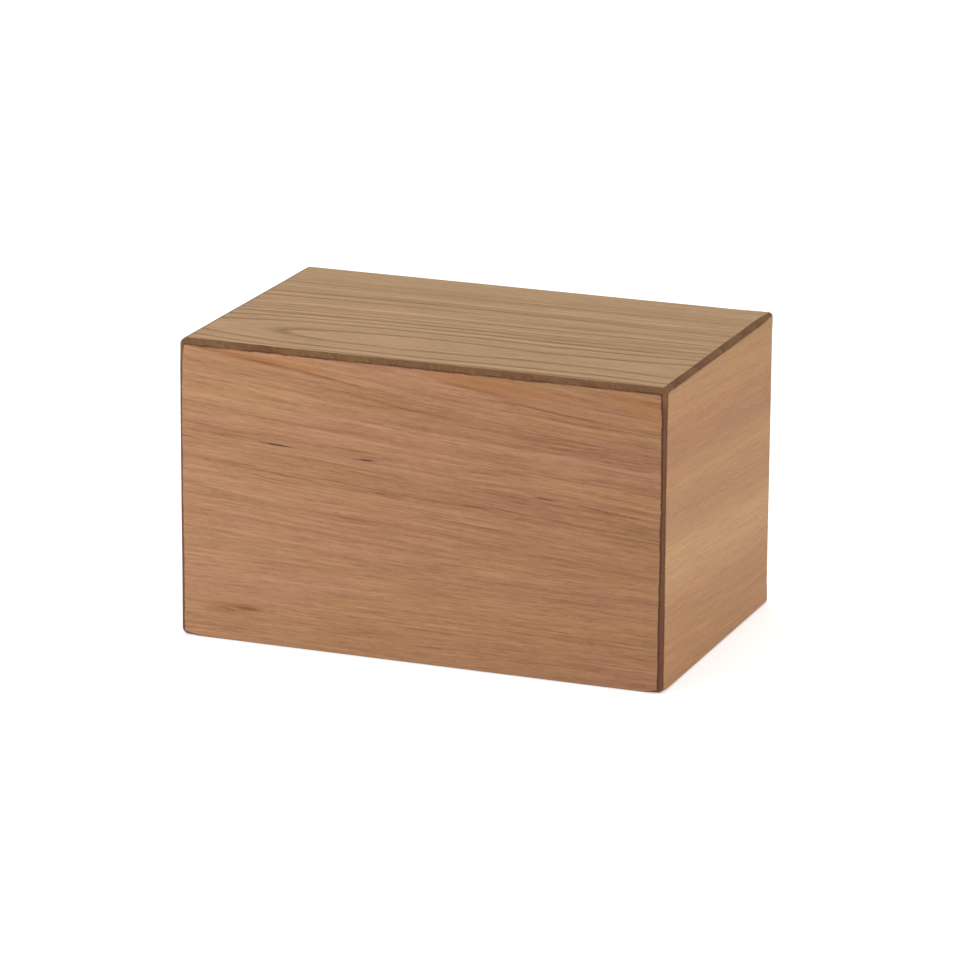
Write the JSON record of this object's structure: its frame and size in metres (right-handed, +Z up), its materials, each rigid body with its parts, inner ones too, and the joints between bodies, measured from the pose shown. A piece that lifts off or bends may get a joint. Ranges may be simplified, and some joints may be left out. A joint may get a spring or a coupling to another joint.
{
  "type": "cremation urn box",
  "caption": "Plain closed rectangular wooden urn box of mitred veneered boards with rounded, darkened edges, filled from below through a screwed-on bottom board.",
  "frame": {"origin": "middle of the footprint, on the surface that the box stands on", "axes": "+Z up, +X along the long side, and the front faces -Y"},
  "size_m": [0.1906, 0.122, 0.1143],
  "materials": {
    "top_veneer": "open-pored ash veneer under a clear satin lacquer, yellow-brown with fine darker ring lines",
    "wall_veneer": "open-pored veneer under a clear satin lacquer, pinkish tan with level grain, dark brown where the edges are rounded through it",
    "plain_veneer": "plain straight-grained veneer, matt",
    "screw_steel": "yellow zinc-plated, satin"
  },
  "bodies": {
    "root": {"top_board": "top_veneer", "front_board": "wall_veneer", "back_board": "wall_veneer", "left_board": "wall_veneer", "right_board": "wall_veneer", "bottom_board": "plain_veneer", "bottom_screw_1": "screw_steel", "bottom_screw_2": "screw_steel", "bottom_screw_3": "screw_steel", "bottom_screw_4": "screw_steel"}
  },
  "joints": []
}
